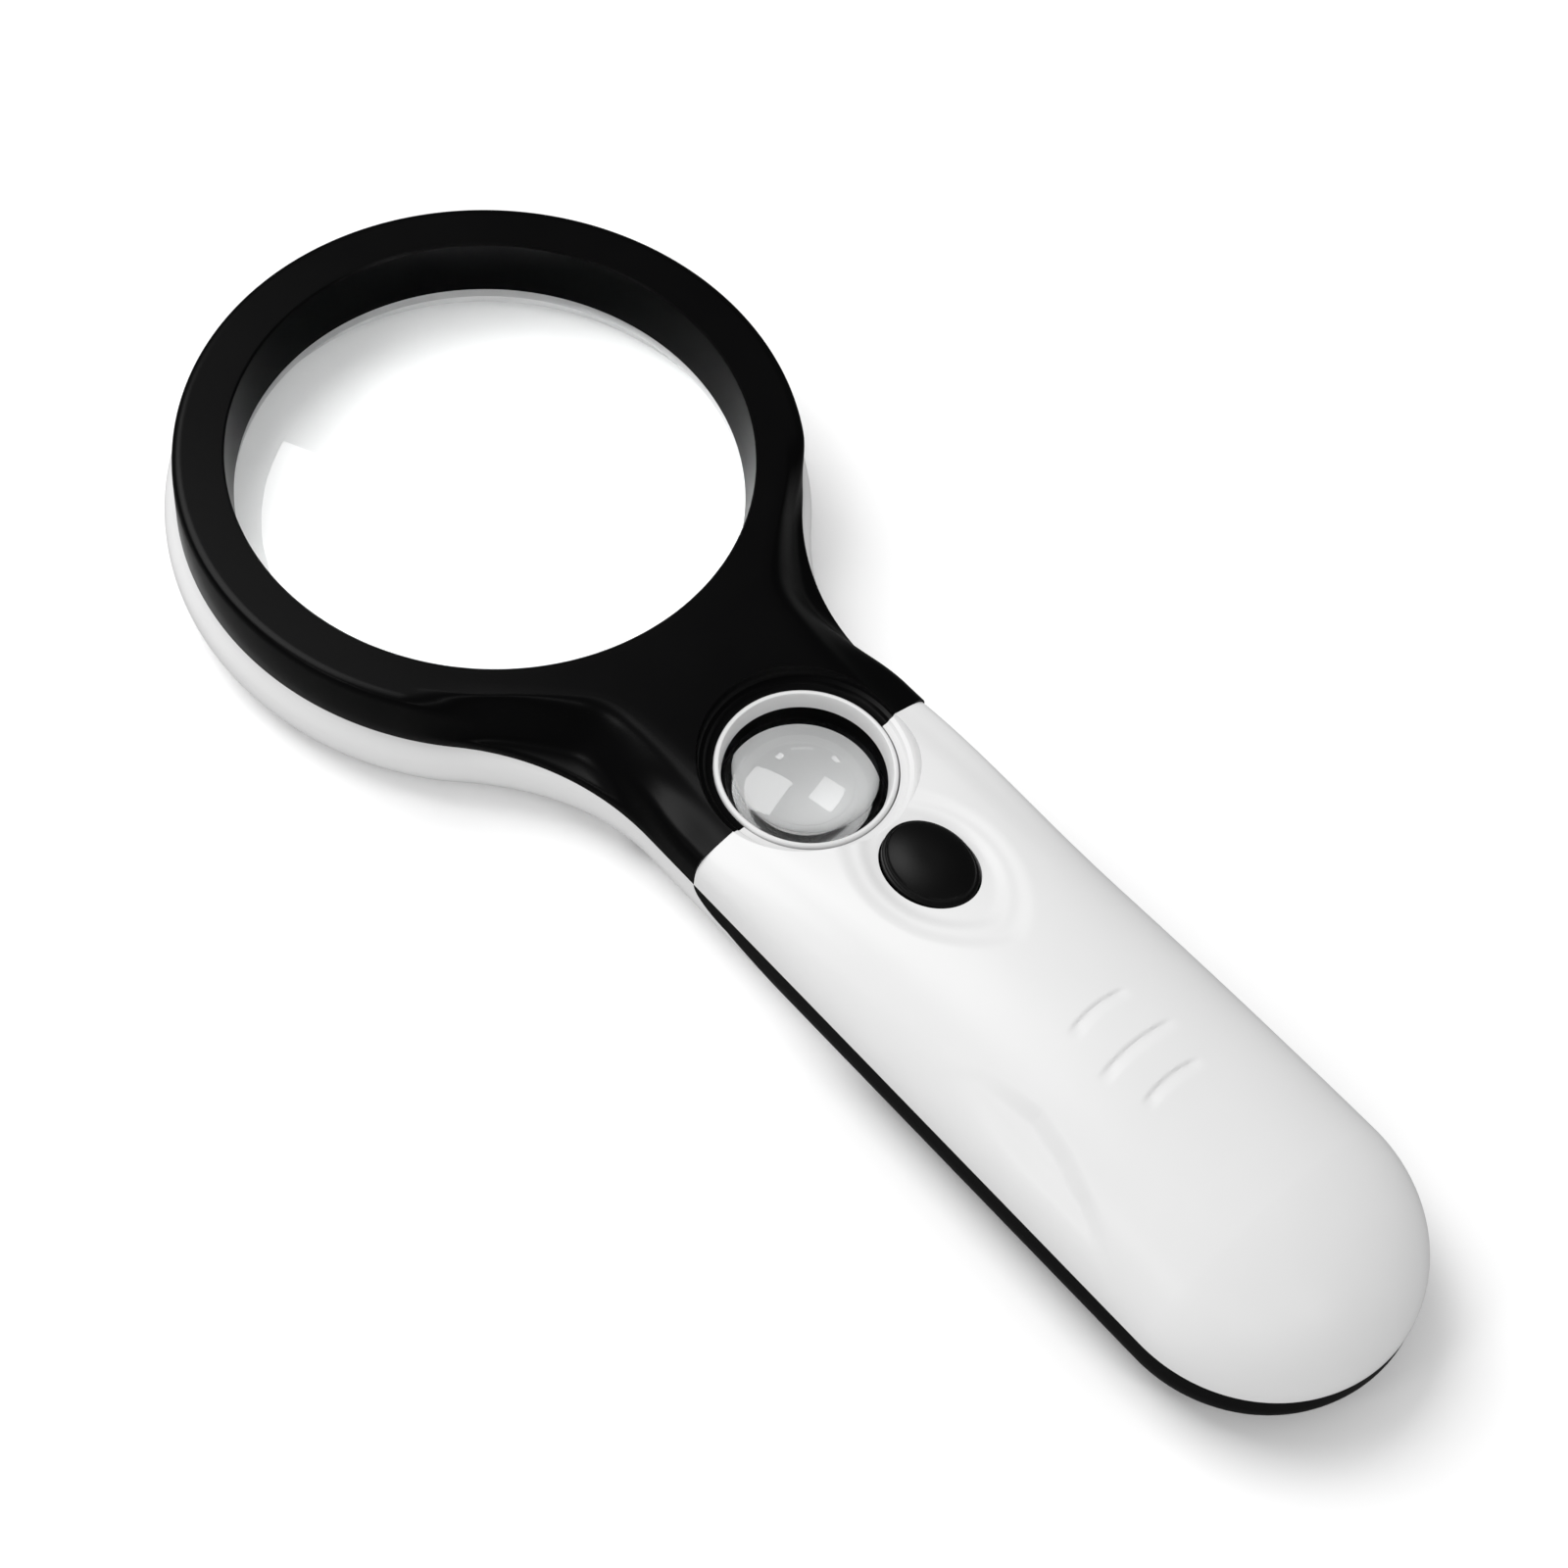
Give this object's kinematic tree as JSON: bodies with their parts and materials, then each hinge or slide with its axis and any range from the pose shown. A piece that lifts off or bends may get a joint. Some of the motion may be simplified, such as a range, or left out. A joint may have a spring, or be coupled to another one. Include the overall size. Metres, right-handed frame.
{
  "type": "illuminated hand magnifier",
  "caption": "Hand-held illuminated reading magnifier with a large round lens, a small high-power lens in the neck, a push button and a battery handle.",
  "frame": {"origin": "centre of the footprint at the resting plane, under the magnifier as it lies on its back", "axes": "+Y along the handle to the head, +Z out of the front face with the button, +X to the right seen from the front"},
  "size_m": [0.0796, 0.1903, 0.0224],
  "materials": {
    "black_abs": "satin moulded black",
    "white_abs": "glossy moulded white",
    "lens_acrylic": "clear polished",
    "button_rubber": "smooth satin black",
    "spring_steel": "plated",
    "circuit_board": "solder mask",
    "black_component": "matte",
    "ivory_plastic": "natural moulded",
    "lamp_epoxy": "clear cast",
    "red_insulation": "insulated lead",
    "black_insulation": "insulated lead",
    "cell_wrap": "shrink sleeve"
  },
  "bodies": {
    "root": {"front_head_frame": "black_abs", "rear_head_frame": "white_abs", "front_handle_cover": "white_abs", "rear_handle_cover": "black_abs", "battery_tray": "black_component", "main_lens": "lens_acrylic", "small_lens": "lens_acrylic", "small_lens_collar": "white_abs", "switch_spring": "spring_steel", "switch_body": "black_component", "circuit_board": "circuit_board", "resistors": "black_component", "lamp_board": "circuit_board", "lamp_left": "lamp_epoxy", "lamp_centre": "lamp_epoxy", "lamp_right": "lamp_epoxy", "lamp_lead_red": "red_insulation", "lamp_lead_black": "black_insulation", "battery_lead_red": "red_insulation", "battery_lead_black": "black_insulation", "cell_left": "cell_wrap", "cell_middle": "cell_wrap", "cell_right": "cell_wrap", "cell_spring_left": "spring_steel", "cell_spring_middle": "spring_steel", "cell_spring_right": "spring_steel", "positive_contact": "spring_steel", "front_bridge_contact": "spring_steel", "rear_bridge_contact": "spring_steel", "negative_contact": "spring_steel", "shell_screws": "spring_steel"},
    "button": {"power_button": "button_rubber", "switch_plunger": "ivory_plastic"},
    "door": {"battery_door": "black_abs"}
  },
  "joints": [
    {"name": "button_press", "type": "slide", "parent": "root", "child": "button", "axis": [0, 0, -1], "range_m": [0, 0.0012], "stiffness_N_per_m": 800, "deforming": ["switch_spring"]},
    {"name": "battery_door_swing", "type": "hinge", "parent": "root", "child": "door", "pos_m": [0, -0.08285, 0.0014], "axis": [-1, 0, 0], "range_deg": [0, 75]}
  ]
}
